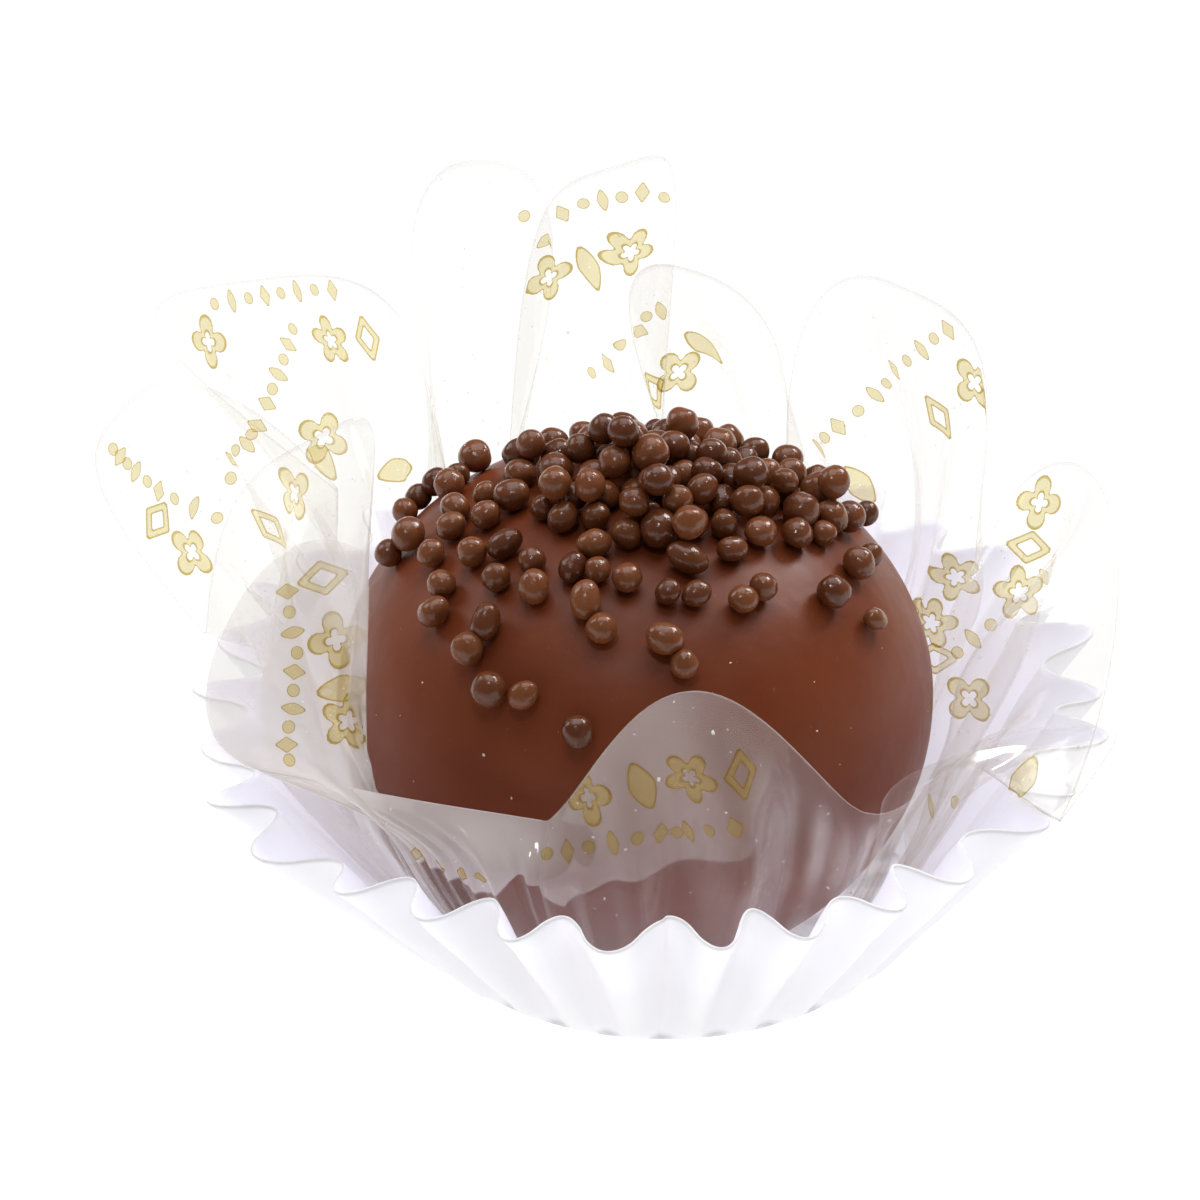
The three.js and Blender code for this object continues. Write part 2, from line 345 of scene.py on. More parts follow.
def paper_material(name, tint, glow):
    """Thin paper; the glow is painted light, standing for the light that its folds pass to and fro."""
    n = Nodes(name)
    fibre = n.noise(1400, 4, 0.65)
    cloud = n.noise(120, 2)
    colour = n.mix(n.ramp(cloud, 0.3, 0.7), tint, tuple(c * 0.97 for c in tint))
    paper = n.principled(
        Base_Color=colour,
        Roughness=0.75,
        Specular_IOR_Level=0.25,
        Normal=n.bump(fibre, 0.35, 0.06),
        Emission_Color=tint,
        Emission_Strength=glow,
    )
    through = n.shader("BsdfTranslucent", Color=tint)
    return n.surface(n.blend(0.36, paper, through))


def film_material():
    n = Nodes("clear_film")
    facing = n.add("LayerWeight")
    facing.inputs["Blend"].default_value = 0.5
    facing = facing.outputs["Facing"]
    # the film's milkiness, together with painted reflections and painted highlights that are added to it
    haze_and_painted_glare = n.ramp(n.noise(160, 2, 0.5), 0.3, 0.7, 0.8, 1.2)
    haze_and_painted_glare = n.maths("MULTIPLY", haze_and_painted_glare, n.value("haze_and_painted_glare"))
    # painted reflection: above a wavy line the film is made milkier, standing for its mirror image of the
    # bright paper
    painted_reflection_mask = n.ramp(n.value("painted_reflection_zone"), -0.01, 0.01)
    haze_and_painted_glare = n.maths("ADD", haze_and_painted_glare, n.maths("MULTIPLY", painted_reflection_mask, n.value("painted_reflection_share")))
    cover = n.maths("ADD", haze_and_painted_glare, n.maths("MULTIPLY", n.maths("POWER", facing, 3.0), 0.14))
    cover = n.maths("MAXIMUM", cover, n.maths("MULTIPLY", n.value("edge"), 0.19))
    speck = n.ramp(n.noise(1900, 1, 0.5), 0.76, 0.80, 0.0, 0.35)
    cover = n.maths("ADD", cover, speck)
    cover.node.use_clamp = True
    skin = n.principled(Base_Color=(0.95, 0.90, 0.89), Roughness=0.5, Specular_IOR_Level=0.3)
    through = n.shader("BsdfTranslucent", Color=(0.95, 0.91, 0.90))
    skin = n.blend(0.35, skin, through)
    clear = n.shader("BsdfTransparent", Color=(0.985, 0.983, 0.975))
    body = n.blend(cover, clear, skin)
    ripple = n.bump(n.noise(120, 2), 0.1, 0.3)
    shine = n.shader("BsdfAnisotropic", Color=(1, 1, 1), Roughness=0.07, Normal=ripple)
    gloss = n.maths("ADD", n.maths("MULTIPLY", n.maths("POWER", facing, 3.5), 0.34), 0.020)
    return n.surface(n.blend(gloss, body, shine))


def foil_material():
    n = Nodes("gold_print")
    rim = n.value("rim")
    worn = n.ramp(n.noise(700, 3, 0.6), 0.35, 0.65)
    fill = n.mix(worn, (0.86, 0.78, 0.47), (0.80, 0.70, 0.38))
    # painted shade: the darker, more opaque line along each mark's rims stands for the shadow at the foil's
    # raised edges
    line = n.mix(worn, (0.56, 0.42, 0.15), (0.44, 0.31, 0.09))
    colour = n.mix(rim, fill, line)
    ink = n.principled(
        Base_Color=colour,
        Roughness=n.ramp(n.noise(900, 2), 0.3, 0.7, 0.3, 0.5),
        Metallic=0.35,
    )
    cover = n.ramp(rim, 0.0, 1.0, 0.07, 0.18)
    tint = n.mix(rim, (0.950, 0.912, 0.75), (0.85, 0.77, 0.48))
    clear = n.shader("BsdfTransparent", Color=tint)
    return n.surface(n.blend(cover, clear, ink))


def crumb_material():
    n = Nodes("pale_crumbs")
    colour = n.mix(n.noise(2000, 2), (0.62, 0.50, 0.40), (0.85, 0.80, 0.74))
    return n.surface(n.principled(Base_Color=colour, Roughness=0.6))


CHOCOLATE = chocolate_material()
BALLS = balls_material()
PAPER_OUT = paper_material("case_paper", (0.895, 0.895, 0.895), 0.0)
# painted light: the inside glows to brighten it, and its lavender tint is painted bluish shade
PAPER_IN = paper_material("case_paper_inside", (0.905, 0.90, 0.98), 0.37)
FILM = film_material()
FOIL = foil_material()
CRUMBS = crumb_material()


# ---- the sweet
def sweet_reach(bearing, z):
    """Reach of the plain sweet from the case's axis."""
    k = (z - SWEET_CENTRE[2]) / SWEET_HALF_HEIGHT
    round_reach = SWEET_RADIUS * np.sqrt(np.clip(1 - k * k, 0, 1))
    return round_reach + SWEET_CENTRE[0] * np.sin(np.radians(bearing))


def crown_drop(away_squared):
    """How much the crown is flattened under the balls."""
    return CROWN_FLAT * bell(away_squared, CROWN_REACH ** 2)


def sweet_surface(turn, lift):
    """Point of the sweet's skin, with its soft unevenness."""
    uneven = 1 + 0.006 * np.sin(2 * turn + 1) * np.cos(lift) * np.sin(3 * lift + 1.5)
    dent = 0.0022 * np.sin(5 * turn + 3 * lift) * np.sin(4 * lift + 0.6)
    dent = dent + 0.0014 * np.sin(9 * turn + 1.3) * np.sin(7 * lift + 2 * np.sin(3 * turn))
    reach = SWEET_RADIUS * np.cos(lift) * (uneven + dent * np.cos(lift))
    z = SWEET_HALF_HEIGHT * np.sin(lift) * (1 + 0.3 * dent)
    z = z - crown_drop(reach ** 2) * (lift > 0)
    return SWEET_CENTRE + np.stack([reach * np.cos(turn), reach * np.sin(turn), z], -1)


def make_sweet():
    columns, rows = 256, 150
    lowest = math.asin((SWEET_FLAT_Z - SWEET_CENTRE[2]) / SWEET_HALF_HEIGHT)
    lift = lowest + (math.pi / 2 - lowest) * np.arange(rows) / rows
    turn = TAU * np.arange(columns) / columns
    grid = sweet_surface(*np.meshgrid(turn, lift))
    top = SWEET_CENTRE + [0, 0, SWEET_HALF_HEIGHT - CROWN_FLAT]
    bottom = [SWEET_CENTRE[0], 0, SWEET_FLAT_Z]
    verts = np.concatenate([grid.reshape(-1, 3), [top, bottom]])
    ids = np.arange(rows * columns).reshape(rows, columns)
    right = np.roll(ids, -1, 1)
    faces = wrapped_quads(ids).tolist()
    for i in range(columns):
        faces.append([ids[-1, i], right[-1, i], rows * columns])
        faces.append([right[0, i], ids[0, i], rows * columns + 1])
    return new_piece("sweet_skin", verts, faces, [CHOCOLATE], "sweet")


# ---- the crisp balls
LOOSE = [  # bearing from the front, reach from the axis (mm), size (mm), length over width
    (237, 15.5, 2.3, 1), (243, 19.0, 1.9, 1), (241, 18.0, 2.0, 1), (253, 15.3, 2.1, 1.1),
    (245, 15.6, 1.7, 1), (248, 19.2, 1.8, 1), (270, 17.3, 2.3, 1.1), (270, 18.6, 1.9, 1),
    (269, 14.1, 2.1, 1.15), (265, 12.1, 1.7, 1), (273, 10.3, 2.3, 1.1), (277, 14.4, 1.9, 1.2),
    (279, 12.1, 1.9, 1.1), (283, 16.0, 1.9, 1), (293, 13.9, 2.1, 1), (298, 12.0, 2.1, 1.45),
    (311, 11.6, 1.9, 1), (307, 13.9, 2.0, 1), (295, 16.3, 1.9, 1), (319, 13.1, 2.1, 1.15),
    (300, 17.6, 2.1, 1.1), (314, 16.3, 2.1, 1.4), (314, 17.9, 2.2, 1.15), (323, 19.0, 2.4, 1.05),
    (330, 18.4, 1.9, 1.2), (325, 10.6, 1.9, 1.2), (326, 8.4, 2.1, 1.15), (334, 10.1, 1.8, 1),
    (346, 10.2, 2.0, 1), (336, 12.7, 2.3, 1.3), (343, 14.1, 2.1, 1), (343, 19.1, 2.2, 1),
    (360, 14.2, 2.3, 1.15), (5, 15.3, 1.9, 1), (1, 10.8, 1.8, 1), (11, 10.9, 1.8, 1.2),
    (10, 8.3, 2.3, 1.45), (34, 7.9, 1.9, 1.25), (26, 11.7, 1.9, 1.1), (35, 11.2, 1.9, 1),
    (57, 13.3, 2.2, 1.1), (76, 13.3, 2.1, 1.1), (86, 13.8, 1.7, 1), (65, 15.4, 1.7, 1.4),
    (97, 12.5, 2.2, 1), (113, 14.8, 1.8, 1), (337, 6.6, 2.1, 1), (356, 5.9, 2.6, 1.1),
    (23, 4.9, 1.9, 1), (42, 5.8, 2.0, 1), (55, 7.7, 2.2, 1.2), (69, 9.4, 2.1, 1.1),
    (80, 10.7, 1.7, 1), (287, 8.5, 1.9, 1), (301, 7.9, 2.2, 1), (313, 6.3, 2.0, 1),
    (119, 11.8, 2.0, 1.1),
]
HEAP_EDGE = [  # bearing from the front and reach of the heap's outline, seen from above (mm)
    (0, 6.5), (30, 6.0), (60, 9.5), (75, 10.5), (95, 12.0), (115, 12.0), (140, 9.6), (165, 9.2),
    (190, 9.4), (215, 10.2), (240, 11.6), (260, 11.2), (290, 9.5), (310, 7.5), (340, 7.0),
]
HEAP_TRIES = 3200  # throws for the close layer of the heap; most find no room
HEAP_TOP_BALLS = 26  # balls settled on top of that layer
HEAP_TOP_SHARE = (0.75, 0.6)  # these keep nearer the middle, across and in depth,
HEAP_TOP_FORWARD = 1.6  # and further forward (mm)
HEAP_SIZE = dict(mean=2.2, spread=0.22, least=1.7, most=2.75)
SETTLE_TRIES = 60
SETTLE_STEP = 0.5
SETTLE_SHRINK = 0.94
BALL_DETAIL = 4
BALL_SINK = 0.06  # how far a ball sinks into the chocolate, and into its neighbours (mm)
BALL_OVERLAP = 0.05
BALL_LUMP = 0.023  # shares of its radius
BALL_FLAT = 0.10
LONG_SWELL = 1.05  # a long ball is this much larger
LONG_CHANCE = 0.12  # share of the heap's balls that are long
LONG_MOST = 0.3  # and by what share at most


def heap_reach(bearing):
    """Reach of the heap's outline, seen from above."""
    bearings, reaches = np.array(HEAP_EDGE).T
    return np.interp(bearing, bearings, reaches, period=360)


def ground_height(x, y, radius):
    """Height of a ball's centre resting on the sweet at (x, y)."""
    wide, tall = SWEET_RADIUS + radius - BALL_SINK, SWEET_HALF_HEIGHT + radius - BALL_SINK
    away = (x - SWEET_CENTRE[0]) ** 2 + (y - SWEET_CENTRE[1]) ** 2
    return SWEET_CENTRE[2] + tall * math.sqrt(max(1 - away / wide ** 2, 0)) - crown_drop(away)


def ball_on_balls(x, y, radius, placed):
    """Height at which a ball dropped at (x, y) first touches another ball; -1 where it meets none."""
    away = (placed[:, 0] - x) ** 2 + (placed[:, 1] - y) ** 2
    room = (placed[:, 3] + radius) ** 2 - away
    tops = np.where(room > 0, placed[:, 2] + np.sqrt(np.maximum(room, 0)), -1)
    return tops.max()


def heap_balls(rng, fixed):
    """A close layer of balls on the crown, then a few more settled in the hollows between them.

    The fixed balls are the scattered ones that are already there.
    """
    placed = list(fixed)

    def pick():
        size = rng.normal(HEAP_SIZE["mean"], HEAP_SIZE["spread"])
        radius = 0.5 * float(np.clip(size, HEAP_SIZE["least"], HEAP_SIZE["most"]))
        bearing = rng.random() * 360
        reach = heap_reach(bearing) * math.sqrt(rng.random())
        x, y, _ = polar(bearing, reach, 0.0)
        return x, y, radius

    for _ in range(HEAP_TRIES):
        x, y, radius = pick()
        z = ground_height(x, y, radius)
        balls = np.array(placed)
        gaps = np.sqrt(((balls[:, :3] - [x, y, z]) ** 2).sum(1)) - balls[:, 3] - radius
        if gaps.min() > -BALL_OVERLAP:
            placed.append((x, y, z, radius))
    for _ in range(HEAP_TOP_BALLS):
        x, y, radius = pick()
        balls = np.array(placed)
        x, y = HEAP_TOP_SHARE[0] * x, HEAP_TOP_SHARE[1] * y - HEAP_TOP_FORWARD
        z = max(ball_on_balls(x, y, radius, balls), ground_height(x, y, radius))
        step = SETTLE_STEP
        for _ in range(SETTLE_TRIES):
            way = rng.random() * TAU
            nx, ny = x + step * math.cos(way), y + step * math.sin(way)
            nz = max(ball_on_balls(nx, ny, radius, balls), ground_height(nx, ny, radius))
            if nz < z:
                x, y, z = nx, ny, nz
            else:
                step *= SETTLE_SHRINK
        placed.append((x, y, z, radius))
    return placed[len(fixed):]


def loose_balls():
    """Places (x, y, z) and radii of the scattered balls."""
    balls = []
    for bearing, reach, size, _ in LOOSE:
        x, y, _ = polar(bearing, reach, 0.0)
        balls.append((x, y, ground_height(x, y, size / 2), size / 2))
    return balls


def make_balls(name, balls, longs, rng):
    """Every ball is a little lumpy; a long one lies along the sweet's skin."""
    sphere, faces = icosphere(BALL_DETAIL)
    verts, all_faces, shades = [], [], []
    for k, (x, y, z, radius) in enumerate(balls):
        axis = unit(rng.normal(size=3))
        lump = np.ones(len(sphere))
        for _ in range(4):
            wave = rng.normal(size=3) * 2.1
            lump += BALL_LUMP * np.sin(sphere @ wave + rng.random() * TAU)
        flat = 1 - BALL_FLAT * rng.random() * np.abs(sphere @ axis) ** 2
        shape = sphere * (lump * flat)[:, None]
        if longs[k] > 1.01:
            normal = unit(np.array([x, y, z]) - SWEET_CENTRE)
            along = unit(np.cross(normal, unit(rng.normal(size=3))))
            stretch = (sphere @ along) * (longs[k] - 1)
            shape = shape + along * stretch[:, None]
            shape = shape / math.sqrt(longs[k])
            radius = radius * LONG_SWELL
        verts.append(shape * radius + [x, y, z])
        all_faces.append(faces + k * len(sphere))
        shades.append(np.full(len(sphere), rng.random()))
    return new_piece(name, np.concatenate(verts), np.concatenate(all_faces), [BALLS],
                     attributes={"shade": np.concatenate(shades)})


# ---- the paper case
def case_flare(bearing):
    """Share of the outward flare at a bearing."""
    return bell(bearing_gap(bearing, CASE_FLARE_BEARING), CASE_FLARE_SPAN)


def case_reach(bearing, z, wave):
    """Reach of the case's outer face; wave is 0 on a flute's ridge and 1 in its groove."""
    k = z / CASE_RIM_HEIGHT
    ridge = CASE_BASE_RADIUS + (CASE_RIM_RADIUS - CASE_BASE_RADIUS) * k
    push = CASE_RIM_SHIFT * np.sin(np.radians(bearing)) + CASE_FLARE * case_flare(bearing)
    return ridge + (push - CASE_FLUTE_DEPTH * wave) * k


def make_case():
    per_flute, rows = 24, 40
    columns = CASE_FLUTES * per_flute
    floor = CASE_THICK / 2
    levels = np.concatenate([[0, 0.012, 0.035], np.linspace(0.07, 1, rows - 3)])[:, None]
    turn = (np.arange(columns) / per_flute)[None, :]
    wobble = 0.9 * np.sin(turn * 1.7) + 0.6 * np.sin(turn * 2.9 + 1)
    bearing = 360 / CASE_FLUTES * turn + wobble * levels
    swing = np.cos(TAU * turn)
    wave = 0.5 + 0.5 * np.sign(swing) * np.abs(swing) ** 0.8
    deep = 1 - CASE_DEPTH_VARY * (1 - np.sin(turn * 2.3 + 0.5))
    ragged = CASE_RAGGED * np.sin(turn * 3.1) - CASE_FLARE_DROP * case_flare(bearing)
    tall = 1 + CASE_RIGHT_RISE * np.sin(np.radians(bearing)) + ragged
    z = floor + (CASE_RIM_HEIGHT - floor) * levels * tall
    reach = case_reach(bearing, z, wave * deep) - CASE_THICK / 2
    ease = np.clip(levels / CASE_EASE, 0, 1)
    reach = (CASE_BASE_RADIUS - CASE_FOLD_INSET) * (1 - ease) + reach * ease
    foot = CASE_FOOT_SWAY * (1 - 2 * wave) * np.clip(levels / 0.02, 0, 1) * (1 - levels) ** 2
    crimp = CASE_CRIMP * np.sin(TAU * turn * 2 + 2 * np.sin(turn)) * np.sin(math.pi * levels) ** 0.5
    crumple = CASE_CRUMPLE * np.sin(0.9 * turn + 5 * levels) * np.sin(2.2 * turn + 9 * levels + 1) * levels
    points = polar(bearing, reach + foot + crimp + crumple, z)
    verts, outer, inner, edge = shell(points, np.array([0, 0, floor]), PAPER_THICK)
    marks = [0] * len(outer) + [1] * len(inner) + [0] * len(edge)
    return new_piece("case", verts, outer + inner + edge, [PAPER_OUT, PAPER_IN],
                     "paper_case", face_material=marks)


# ---- the film
def lobe_table(key):
    return np.array([lobe[key] for lobe in LOBES], float)


TIPS = polar(*lobe_table("tip").T)
NOTCHES = polar(*lobe_table("notch").T)
SQUARE = lobe_table("square")
WIDEN = lobe_table("widen")
FEET = np.concatenate([[LOBES[-1]["foot"] - 360], lobe_table("foot")])


def plain_edge(u):
    """Free edge of the film with sharp notches: one rounded lobe for each whole number of u."""
    u = u % LOBE_COUNT
    i = np.floor(u).astype(int) % LOBE_COUNT
    before, after = NOTCHES[i - 1], NOTCHES[i]
    half, middle = (after - before) / 2, (after + before) / 2
    rise = TIPS[i] - middle
    w = 2 * (u - np.floor(u)) - 1
    square = np.where(w < 0, SQUARE[i, 0], SQUARE[i, 1])
    soft = np.clip(2 - square, 0, 1)
    power = np.maximum(square, 2)
    angle = (1 - np.abs(w)) * math.pi / 2
    c, s = np.cos(angle), np.sin(angle)
    size = 1 / (c ** power + s ** power) ** (1 / power)
    across = (1 - soft) * np.sign(w) * c * size + soft * w
    up = (1 - soft) * s * size + soft * (1 + np.cos(math.pi * w)) / 2
    return middle + half * (across * (1 + WIDEN[i] * up))[..., None] + rise * up[..., None]


def lobe_edge(u):
    """Free edge of the film; the notch after the first lobe is rounded."""
    spread = NOTCH_SPREAD * bell(u - 1, NOTCH_REACH)
    return sum(share * plain_edge(u + step * spread) for step, share in NOTCH_BLUR)


def foot_bearing(u):
    return np.interp(u, np.arange(LOBE_COUNT + 1), FEET)


def film_calm(bearing):
    """Share of calm at a bearing: the film hangs smoother and leans outward at the front left."""
    return bell(bearing_gap(bearing, FILM_CALM_BEARING), FILM_CALM_SPAN)


def pleat(u):
    """Sway of the cup's wall between the sweet, -1, and the case, 1."""
    wide = np.sin(TAU * (2 * u + 0.15 * np.sin(TAU * u / 3)))
    fine = np.sin(TAU * (3 * u + 0.4 + 0.2 * np.sin(TAU * u / 4)))
    return (0.6 * wide + 0.4 * fine) * (1 - FILM_CALM_SHARE * film_calm(foot_bearing(u)))


def cup_point(u, t):
    """Point of the film where it stands between the sweet and the case."""
    bearing = foot_bearing(u)
    z = FILM_FLOOR_Z + (FILM_CUP_TOP_Z - FILM_FLOOR_Z) * t
    low = np.maximum(sweet_reach(bearing, z) + FILM_CLEARANCE, FILM_FLOOR_RADIUS)
    wall = case_reach(bearing, z, 1) - CASE_THICK - FILM_CLEARANCE
    high = np.maximum(wall, FILM_FLOOR_RADIUS + 0.4)
    lean = FILM_LEAN * film_calm(bearing) * np.clip(2 * t - 0.6, 0, 1)
    share = 0.5 + CUP_SWAY * pleat(u) * np.minimum(1, 3 * t) + lean
    return polar(bearing, low + (high - low) * share, z)


def film_point(u, t):
    """Middle of the film.

    u counts lobes round the sheet; t is 0 at the floor, 1 at the cup's top and 2 at the free edge.
    """
    u, t = np.broadcast_arrays(np.asarray(u, float) % LOBE_COUNT, np.asarray(t, float))
    cup = cup_point(u, np.minimum(t, 1))
    start = cup_point(u, np.ones_like(t))
    edge = lobe_edge(u)
    length = np.linalg.norm(edge - start, axis=-1, keepdims=True)
    leave = start + unit(start - cup_point(u, np.full_like(t, NEAR_CUP_TOP))) * LEAVE_PULL * length
    arrive = edge + (start - edge) * ARRIVE_PULL
    k = np.clip(t - 1, 0, 1)[..., None]
    free = (1 - k) ** 3 * start + 3 * k * (1 - k) ** 2 * leave
    free = free + 3 * k * k * (1 - k) * arrive + k ** 3 * edge
    return np.where((t <= 1)[..., None], cup, free)


def film_normal(u, t):
    step = 0.004
    across = film_point(u + step, t) - film_point(u - step, t)
    above = np.minimum(t + step, 2)
    along = film_point(u, above) - film_point(u, above - 2 * step)
    return unit(np.cross(across, along))


def crease(u, t):
    """Fine pleats of the film, deepest where it leaves the case, fading towards the free edge."""
    fade = np.clip(t / 0.5, 0, 1) * np.clip((1.75 - t) / 0.75, 0, 1)
    wave = np.sin(TAU * (6 * u + 0.5 * np.sin(TAU * u * 0.9) + 0.15 * t))
    small = np.sin(TAU * (10 * u + 0.8 * np.sin(TAU * u * 0.7 + 1)))
    strong = np.where((u % LOBE_COUNT < 1.2) | (u % LOBE_COUNT > 10), 1.0, 0.6)
    return fade * strong * (0.24 * np.sign(wave) * np.abs(wave) ** 1.4 + 0.10 * small)


def film_skin(u, t, offset=0.0):
    """Creased film, or a surface offset outward from it."""
    return film_point(u, t) + film_normal(u, t) * (crease(u, t) + offset)[..., None]


# painted reflection: above a wavy line the front of the film is made milky, standing for its mirror image
# of the bright paper: film coordinates of the line, and how much milkiness is painted over it
PAINTED_REFLECTION_EDGE = [
    (10.9, 0.93), (11.1, 0.97), (11.3, 0.92), (11.5, 0.85), (11.62, 0.88), (11.75, 0.98), (11.88, 1.12),
    (11.97, 1.02), (12.06, 0.88), (12.14, 1.06), (12.22, 1.14), (12.33, 1.07), (12.45, 1.15), (12.6, 1.3),
]
PAINTED_REFLECTION_SHARE = [(10.6, 0.0), (10.95, 0.45), (11.85, 0.43), (12.1, 0.15), (12.45, 0.10), (12.75, 0.0)]
# painted highlights: bright upright streaks where the film bends, made milky white: place, width and
# strength
PAINTED_STREAKS = [
    (12.74, 0.03, 0.10), (12.83, 0.02, 0.20), (12.90, 0.03, 0.12), (12.98, 0.02, 0.22), (13.06, 0.03, 0.12),
]


FILM_HAZE = 0.012
FOLD_PAINTED_GLARE = 0.33  # painted reflection: the film's fold at the left edge of the bare chocolate is made milky white, standing for its strong reflection of the light
EDGE_LINE = (1.985, 0.012)  # where the pale line along the free edge starts, and over how much


def make_film():
    per_lobe = 60
    u = ((np.arange(LOBE_COUNT * per_lobe) + 0.5) / per_lobe)[None, :]
    t = np.concatenate([np.linspace(0, 1, 18), 1 + np.linspace(0, 1, 39)[1:]])[:, None]
    u, t = np.broadcast_arrays(u, t)
    points = film_skin(u, t)
    verts, outer, inner, edge_faces = shell(points, np.array([0, 0, FILM_FLOOR_Z]), FILM_THICK)
    edge = np.clip((t - EDGE_LINE[0]) / EDGE_LINE[1], 0, 1)
    # painted reflection: the fold at the left edge of the bare chocolate is made milky white
    painted_fold_glare = np.clip((u - 9.55) / 0.35, 0, 1) * np.clip((11.1 - u) / 0.25, 0, 1)
    haze_and_painted_glare = FILM_HAZE + FOLD_PAINTED_GLARE * painted_fold_glare * np.clip((2.25 - t) / 0.5, 0, 1)
    around = u + LOBE_COUNT * (u < 6)
    # painted highlights: bright upright streaks added to the film's milkiness
    painted_streaks = np.zeros_like(u)
    for middle, wide, share in PAINTED_STREAKS:
        painted_streaks = painted_streaks + share * bell(around - middle, wide)
    haze_and_painted_glare = haze_and_painted_glare + painted_streaks * np.clip((t - 0.7) / 0.2, 0, 1) * np.clip((1.8 - t) / 0.5, 0, 1)
    # painted reflection: where the film is made milky above the wavy line, and how strongly
    painted_reflection_zone = t - np.interp(around, *np.array(PAINTED_REFLECTION_EDGE).T)
    painted_reflection_share = np.interp(around, *np.array(PAINTED_REFLECTION_SHARE).T)
    both = {}
    marks = {"edge": edge, "haze_and_painted_glare": haze_and_painted_glare, "painted_reflection_zone": painted_reflection_zone, "painted_reflection_share": painted_reflection_share}
    for label, values in marks.items():
        column = np.concatenate([[0], values.reshape(-1)])
        both[label] = np.concatenate([column, column])
    return new_piece("film", verts, outer + inner + edge_faces, [FILM], "film_liner",
                     attributes=both)


# ---- the print on the film: rows of simple blossoms, clovers, lozenges, leaves and dots
# each size of print has its height (mm) and, in turn, its shapes with the share that is hollow
BIG = dict(height=3.9, kinds=(("blossom", 0.36), ("lozenge", 0.5), ("clover", 0.36), ("leaf", 0.05)))
SMALL = dict(height=1.75, kinds=(("lozenge", 0.05), ("bead", 0.05), ("leaf", 0.05), ("bead", 0.05)))
PRINT_LIFT = 0.055
PRINT_THICK = 0.02
PRINT_STRETCH = 0.3  # a mark that a fold would stretch by more than this share is left out
PRINT_CROWD = 0.33  # so is one nearer to another row's mark than this share of their heights
PRINT_RINGS = (0.06, 0.12)  # where the dark line round a hollow ends, and its fade
PRINT_RIM = (0.86, 0.93)  # where the fade towards the outer rim starts, and the dark line
HOLLOW_FROM = 0.1  # marks with a larger share hollow show a dark line round the hollow
RIM_HOLLOW = np.array([1.0, 1.0, 0.0, 0.0, 1.0, 1.0])
RIM_SOLID = np.array([0.0, 0.0, 0.0, 0.0, 1.0, 1.0])
OUTLINE_POINTS = 40
PRINT_TOP = 1.96  # a mark that reaches the free edge is squeezed above this
PRINT_EDGE = 1.99
PRINT_SQUEEZE = 0.4
PRINT_FRONT = (10.95, 1.3)  # from and to these lobes it lies on the film's outer face, else inside
FILM_END = 1.998
PRINTS = [  # film coordinates along a row of print, number of shapes, size of shape
    ([(5.66, 1.925), (5.27, 1.90)], 6, SMALL),
    ([(6.37, 1.89), (6.28, 1.93)], 2, SMALL),
    ([(5.72, 1.79), (5.55, 1.72), (5.38, 1.75)], 3, BIG),
    ([(5.53, 1.40), (5.40, 1.50)], 3, SMALL),
    ([(4.79, 1.89), (4.67, 1.83)], 3, SMALL),
    ([(4.88, 1.78), (4.72, 1.60), (4.58, 1.66)], 3, BIG),
    ([(3.86, 1.60), (3.73, 1.56), (3.61, 1.63), (3.43, 1.79), (3.34, 1.94)], 11, SMALL),
    ([(3.74, 1.33), (3.64, 1.40), (3.35, 1.63), (3.25, 1.90)], 4, BIG),
    ([(2.74, 1.38), (2.75, 1.81)], 3, BIG),
    ([(2.81, 1.05), (2.75, 1.29), (2.65, 1.57)], 7, SMALL),
    ([(2.76, 0.84), (2.72, 1.05)], 2, BIG),
    ([(3.11, 1.45), (3.16, 1.20)], 2, BIG),
    ([(3.20, 0.96), (3.15, 0.80)], 2, BIG),
    ([(1.74, 1.02), (1.85, 1.31), (1.91, 1.65)], 3, BIG),
    ([(1.75, 0.94), (1.66, 1.07)], 2, SMALL),
    ([(7.47, 1.83), (7.60, 1.60)], 6, SMALL),
    ([(8.19, 1.93), (8.24, 1.77), (8.45, 1.63)], 6, SMALL),
    ([(9.35, 1.80), (9.50, 1.86), (9.60, 1.93)], 3, BIG),
    ([(7.52, 1.48), (7.46, 1.56)], 1, BIG),
    ([(8.66, 1.94), (8.66, 1.85), (8.65, 1.71), (8.55, 1.52)], 9, SMALL),
    ([(8.71, 1.86), (8.77, 1.62)], 3, BIG),
    ([(7.60, 1.94), (7.36, 1.95)], 8, SMALL),
    ([(7.65, 1.83), (7.45, 1.78), (7.33, 1.78), (7.23, 1.89)], 5, BIG),
    ([(7.24, 1.38), (7.20, 1.34)], 1, BIG),
    ([(10.30, 1.89), (10.36, 1.73), (10.51, 1.65), (10.70, 1.62)], 10, SMALL),
    ([(10.18, 1.88), (10.19, 1.60), (10.25, 1.46)], 4, BIG),
    ([(0.17, 1.83), (0.32, 1.62), (0.45, 1.58), (0.58, 1.65)], 4, BIG),
    ([(0.02, 1.54), (0.14, 1.48), (0.26, 1.40), (0.37, 1.27), (0.43, 1.29), (0.54, 1.40)], 10, SMALL),
    ([(11.10, 1.05), (11.33, 0.97), (11.53, 0.96)], 4, SMALL),
]


